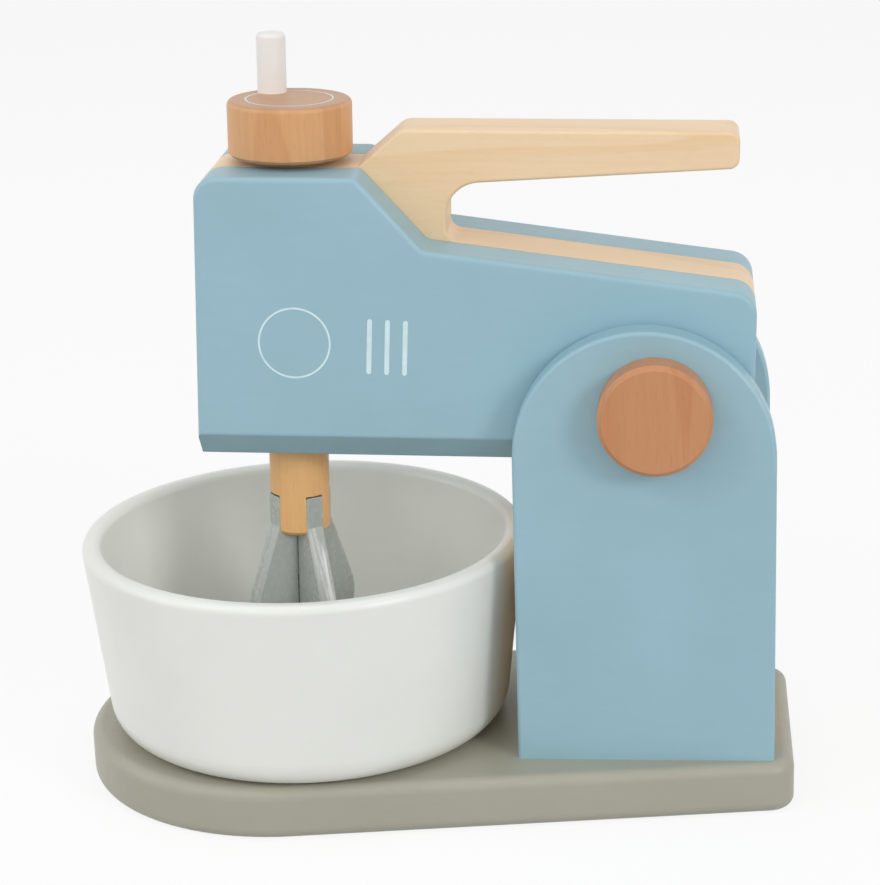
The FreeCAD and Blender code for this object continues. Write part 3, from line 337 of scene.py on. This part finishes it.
def wooden(name, early, late, grain, rings=7.0, flecks=0.35, roughness=0.48, edge_highlight_share=0.35, end=0.0):
    """Lacquered wood: growth rings, fine fibres, the short dark flecks of beech and darker end grain.

    The edges are painted lighter as a highlight, by a given share, and end is how strongly the end grain
    darkens.
    """
    material, tree, surface = new_material(name, roughness, coat=0.15)
    slow = noise(tree, along(grain, 3.2, 26, 30), detail=1.5, distortion=0.25)
    ring = arithmetic(tree, "FRACT", arithmetic(tree, "MULTIPLY", slow, rings))
    fibres = noise(tree, along(grain, 34, 900), detail=4, roughness=0.65)
    dashes = noise(tree, along(grain, 210, 1500, 900), detail=1)
    board = noise(tree, along(grain, 9, 38), detail=2)
    tone = ramp(tree, ring, [
        (0.0, srgb(early)), (0.55, srgb(early, 0.97)), (0.93, srgb(late)), (1.0, srgb(early)),
    ])
    tone = mix(tree, 0.35, tone, ramp(tree, board, [(0.3, srgb(late)), (0.7, srgb(early, 1.04))]))
    tone = mix(tree, 0.22, tone, ramp(tree, fibres, [(0.25, grey(0.25)), (0.75, grey(0.75))]), "SOFT_LIGHT")
    fleck = ramp(tree, dashes, [(0.60, grey(0.0)), (0.72, grey(1.0))])
    tone = mix(tree, arithmetic(tree, "MULTIPLY", fleck, flecks), tone, srgb(FLECK_BROWN))
    if end:
        tone = mix(tree, arithmetic(tree, "MULTIPLY", end_grain(tree, grain), end), tone, srgb(END_GRAIN))
    # Painted highlight along the edges.
    painted_edge_blend = arithmetic(tree, "MULTIPLY", edge_mask(tree, WOOD_EDGE), edge_highlight_share)
    tone = mix(tree, painted_edge_blend, tone, srgb(early, 1.22))
    tree.links.new(tone, surface.inputs["Base Color"])
    gloss = ramp(tree, fibres, [(0.3, grey(roughness - 0.05)), (0.7, grey(roughness + 0.08))])
    tree.links.new(gloss, surface.inputs["Roughness"])
    relief = arithmetic(tree, "SUBTRACT", fibres, arithmetic(tree, "MULTIPLY", fleck, 0.5))
    bump = add_node(tree, "Bump", {"Height": relief, "Strength": 0.16, "Distance": 0.12 * MM})
    tree.links.new(bump.outputs["Normal"], surface.inputs["Normal"])
    return material


def zinc_plated(name):
    """Screw steel with a fine turned finish."""
    material, tree, surface = new_material(name, 0.34)
    surface.inputs["Metallic"].default_value = 1.0
    turned = noise(tree, (1400, 1400, 90), detail=3)
    tone = ramp(tree, turned, [(0.3, srgb(ZINC, 0.85)), (0.7, srgb(ZINC, 1.1))])
    tree.links.new(tone, surface.inputs["Base Color"])
    tree.links.new(ramp(tree, turned, [(0.3, grey(0.28)), (0.7, grey(0.42))]), surface.inputs["Roughness"])
    bump = add_node(tree, "Bump", {"Height": turned, "Strength": 0.2, "Distance": 0.05 * MM})
    tree.links.new(bump.outputs["Normal"], surface.inputs["Normal"])
    return material


def printed(name):
    """White screen-printed ink, with a slightly uneven coat."""
    material, tree, surface = new_material(name, 0.5)
    coat = noise(tree, (420, 420, 420), detail=3)
    tone = ramp(tree, coat, [(0.25, srgb(PRINT_WHITE, 0.9)), (0.6, srgb(PRINT_WHITE))])
    tree.links.new(tone, surface.inputs["Base Color"])
    tree.links.new(ramp(tree, coat, [(0.3, grey(0.45)), (0.7, grey(0.6))]), surface.inputs["Roughness"])
    bump = add_node(tree, "Bump", {"Height": coat, "Strength": 0.1, "Distance": 0.05 * MM})
    tree.links.new(bump.outputs["Normal"], surface.inputs["Normal"])
    return material


def whisk_paint(node, streaks):
    """The glossier grey paint of a whisk board, with painted highlight streaks on its sawn edges."""
    return painted(
        "paint_" + node, WHISK_PAINT, roughness=0.26, painted_edge_brightness=1.9, edge_width=0.5 * MM,
        broad=broad_side(node), streaks=streaks,
    )


def dress_nodes():
    """Give every CAD node its finish."""
    blue = painted("blue_paint", BLUE_PAINT)
    soft_blue = painted("blue_paint_soft", BLUE_PAINT, soft=HEAD_EDGE_ROUNDING)
    core_wood = wooden("pale_wood_along", PALE_WOOD, PALE_WOOD_LATE, "X", flecks=0.03)
    panel_wood = wooden("pale_wood_upright", PALE_WOOD, PALE_WOOD_LATE, "Z", flecks=0.03)
    turned_beech = wooden("beech_turned", BEECH, BEECH_LATE, "Z", rings=5.0, flecks=0.08, end=0.65)
    disc_beech = wooden("beech_disc", DISC_BEECH, DISC_BEECH_LATE, "Z", rings=9.0, flecks=0.10, edge_highlight_share=0.8)
    lying_beech = wooden("beech_lying", SHAFT_BEECH, SHAFT_BEECH_LATE, "Y", flecks=0.15)
    shaft_beech = wooden("beech_shaft", SHAFT_BEECH, SHAFT_BEECH_LATE, "Z", rings=4.0, flecks=0.08)
    finishes = {
        # The base and the bowl are painted darker along their edges, as shade; the other paints lighter, as
        # a highlight.
        "base_plate": painted("grey_paint", GREY_PAINT, painted_edge_brightness=0.92),
        "cheek_left": blue,
        "cheek_right": blue,
        "head_side_left": soft_blue,
        "head_side_right": soft_blue,
        "front_panel": panel_wood,
        "rear_panel": panel_wood,
        "head_core_handle": core_wood,
        "bowl": painted("white_paint", WHITE_PAINT, roughness=0.34, painted_edge_brightness=0.96, edge_width=1.6 * MM),
        "crank_pin": painted("pin_paint", PIN_PAINT, roughness=0.42, painted_edge_brightness=1.03),
        # The two whisk boards get painted highlight streaks of different strength.
        "whisk_board_a": whisk_paint("whisk_board_a", 0.22),
        "whisk_board_b": whisk_paint("whisk_board_b", 0.85),
        "knob": turned_beech,
        "knob_washer": turned_beech,
        "pivot_disc_left": disc_beech,
        "pivot_disc_right": disc_beech,
        "beater_shaft": shaft_beech,
        "spindle": shaft_beech,
        "pivot_axle": lying_beech,
        "head_dowels": lying_beech,
        "panel_dowels": lying_beech,
        "base_screws": zinc_plated("zinc"),
    }
    for node, finish in finishes.items():
        for slot in frame["nodes"][node].material_slots:
            slot.material = finish


# ---------------------------------------------------------------- printed marks


def thin_plate(name, loops, place, right, up, material, body):
    """A film of ink: an outline, or the band between two, on the plane through place."""
    out = right.cross(up)
    mesh = bpy.data.meshes.new(name)
    build = bmesh.new()
    sunk, proud = (
        [
            [
                build.verts.new(place + right * across + up * high + out * level * MM)
                for across, high in loop
            ]
            for loop in loops
        ]
        for level in (-PRINT_DEPTH, PRINT_LIFT)
    )
    count = len(loops[0])
    if len(loops) == 1:
        build.faces.new(proud[0])
        build.faces.new(list(reversed(sunk[0])))
    for index in range(count):
        after = (index + 1) % count
        for low, high in zip(sunk, proud):
            build.faces.new((low[index], low[after], high[after], high[index]))
        if len(loops) == 2:
            outer, inner = proud
            build.faces.new((outer[index], outer[after], inner[after], inner[index]))
            outer, inner = sunk
            build.faces.new((outer[index], outer[after], inner[after], inner[index]))
    bmesh.ops.recalc_face_normals(build, faces=build.faces)
    build.to_mesh(mesh)
    build.free()
    mesh.materials.append(material)
    piece = bpy.data.objects.new(name, mesh)
    bpy.context.collection.objects.link(piece)
    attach(piece, body)
    return piece


def circle_loop(radius, count=CIRCLE_STEPS):
    """A circle, as points across and up."""
    return [
        (radius * math.cos(2 * math.pi * step / count), radius * math.sin(2 * math.pi * step / count))
        for step in range(count)
    ]


def capsule_loop(width, length, count=ROUND_END_STEPS):
    """An upright bar with round ends."""
    radius = width / 2
    middle = length / 2 - radius
    loop = []
    for sign, start in ((1, 0.0), (-1, math.pi)):
        for step in range(count + 1):
            angle = start + math.pi * step / count
            loop.append((radius * math.cos(angle), sign * middle + radius * math.sin(angle)))
    return loop


def ring_loops(radius, line):
    """The outer and inner edge of a drawn ring, from its radius and the width of its line."""
    return [circle_loop((radius + line / 2) * MM), circle_loop((radius - line / 2) * MM)]


def add_marks():
    """Three plain bars and a plain ring on the head's near face, and a ring on the knob."""
    ink = printed("print_ink")
    near_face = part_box("head_side_left")[0].y
    middle = Vector((PIVOT.x, near_face, PIVOT.z))
    middle += (HEAD_UP * PRINT_HEIGHT - HEAD_BACK * PRINT_FORWARD) * MM
    right = HEAD_BACK * math.cos(PRINT_TURN) - HEAD_UP * math.sin(PRINT_TURN)
    up = HEAD_UP * math.cos(PRINT_TURN) + HEAD_BACK * math.sin(PRINT_TURN)
    bar = [capsule_loop(BAR_WIDTH * MM, BAR_LENGTH * MM)]
    for index in range(BAR_COUNT):
        place = middle + right * (index - (BAR_COUNT - 1) / 2) * BAR_PITCH * MM
        thin_plate("print_bar_%d" % index, bar, place, right, up, ink, "head")
    place = middle - right * RING_FROM_BARS * MM
    loops = ring_loops(RING_RADIUS, RING_LINE)
    thin_plate("print_ring", loops, place, right, up, ink, "head")
    top = farthest("knob", HEAD_UP) - SPINDLE.dot(HEAD_UP)
    place = SPINDLE + HEAD_UP * top
    loops = ring_loops(KNOB_RING_RADIUS, KNOB_RING_LINE)
    thin_plate("knob_ring", loops, place, HEAD_BACK, Vector((0, 1, 0)), ink, "beater")


# ---------------------------------------------------------------- floor, light, camera


def seen_white(tree):
    """1 for rays that see the background itself, straight or in a reflection."""
    path = add_node(tree, "LightPath")
    seen = arithmetic(tree, "ADD", path.outputs["Is Camera Ray"], path.outputs["Is Glossy Ray"])
    seen = arithmetic(tree, "ADD", seen, path.outputs["Is Transmission Ray"])
    return arithmetic(tree, "MINIMUM", seen, 1.0)


def add_floor():
    """A wide sheet of pale paper under the toy."""
    mesh = bpy.data.meshes.new("floor")
    half = FLOOR_SIZE / 2
    corners = [(-half, -half, 0), (half, -half, 0), (half, half, 0), (-half, half, 0)]
    mesh.from_pydata(corners, [], [(0, 1, 2, 3)])
    floor = bpy.data.objects.new("floor", mesh)
    bpy.context.collection.objects.link(floor)
    material = bpy.data.materials.new("floor_paper")
    material.use_nodes = True
    tree = material.node_tree
    tree.nodes.remove(tree.nodes["Principled BSDF"])
    paper = add_node(tree, "BsdfDiffuse", {"Color": grey(FLOOR_GREY)}).outputs["BSDF"]
    pale = add_node(tree, "BsdfDiffuse", {"Color": grey(FLOOR_SEEN_GREY)}).outputs["BSDF"]
    glow = add_node(tree, "Emission", {"Color": grey(1.0), "Strength": 1.0}).outputs["Emission"]
    seen = add_node(tree, "MixShader", {0: FLOOR_GLOW, 1: pale, 2: glow}).outputs["Shader"]
    shown = add_node(tree, "MixShader", {0: seen_white(tree), 1: paper, 2: seen}).outputs["Shader"]
    tree.links.new(shown, tree.nodes["Material Output"].inputs["Surface"])
    mesh.materials.append(material)


def add_world():
    """The room: pale walls that light the toy, and plain white where the room itself is seen."""
    world = bpy.data.worlds.new("studio")
    bpy.context.scene.world = world
    world.use_nodes = True
    tree = world.node_tree
    tree.nodes.clear()
    way = add_node(tree, "TexCoord").outputs["Generated"]
    height = add_node(tree, "SeparateXYZ", {"Vector": way}).outputs["Z"]
    tones = ramp(tree, height, [(place, grey(share)) for place, share in ROOM_TONES])
    ambient = add_node(tree, "Background", {"Color": tones, "Strength": ROOM_STRENGTH})
    white = add_node(tree, "Background", {"Color": grey(1.0), "Strength": 1.0})
    shown = add_node(tree, "MixShader", {
        0: seen_white(tree), 1: ambient.outputs["Background"], 2: white.outputs["Background"],
    })
    output = add_node(tree, "OutputWorld")
    tree.links.new(shown.outputs["Shader"], output.inputs["Surface"])


def add_lamps():
    """The square softboxes and lamps, each turned to what it points at."""
    for name, place, target, side, watts in LAMPS:
        lamp = bpy.data.lights.new(name, "AREA")
        lamp.shape = "SQUARE"
        lamp.size = side
        lamp.energy = watts
        holder = bpy.data.objects.new(name, lamp)
        holder.location = place
        aim = Vector(target) - Vector(place)
        holder.rotation_euler = aim.to_track_quat("-Z", "Y").to_euler()
        bpy.context.collection.objects.link(holder)


def add_camera():
    """The photographer's camera, from its place and three angles."""
    camera = bpy.data.cameras.new("camera")
    camera.sensor_width = SENSOR
    camera.lens = SENSOR * FOCAL_LENGTH_IN_PIXELS / max(IMAGE_WIDTH, IMAGE_HEIGHT)
    forward = Vector((
        math.sin(CAMERA_YAW) * math.cos(CAMERA_DOWN),
        math.cos(CAMERA_YAW) * math.cos(CAMERA_DOWN),
        -math.sin(CAMERA_DOWN),
    ))
    level = Vector((math.cos(CAMERA_YAW), -math.sin(CAMERA_YAW), 0))
    upright = level.cross(forward)
    right = level * math.cos(CAMERA_ROLL) + upright * math.sin(CAMERA_ROLL)
    up = upright * math.cos(CAMERA_ROLL) - level * math.sin(CAMERA_ROLL)
    turn = Matrix((right, up, -forward)).transposed()
    holder = bpy.data.objects.new("camera", camera)
    holder.matrix_world = Matrix.Translation(CAMERA_PLACE) @ turn.to_4x4()
    bpy.context.collection.objects.link(holder)
    bpy.context.scene.camera = holder


bpy.context.scene.view_settings.view_transform = "Standard"
dress_nodes()
add_marks()
add_floor()
add_world()
add_lamps()
add_camera()
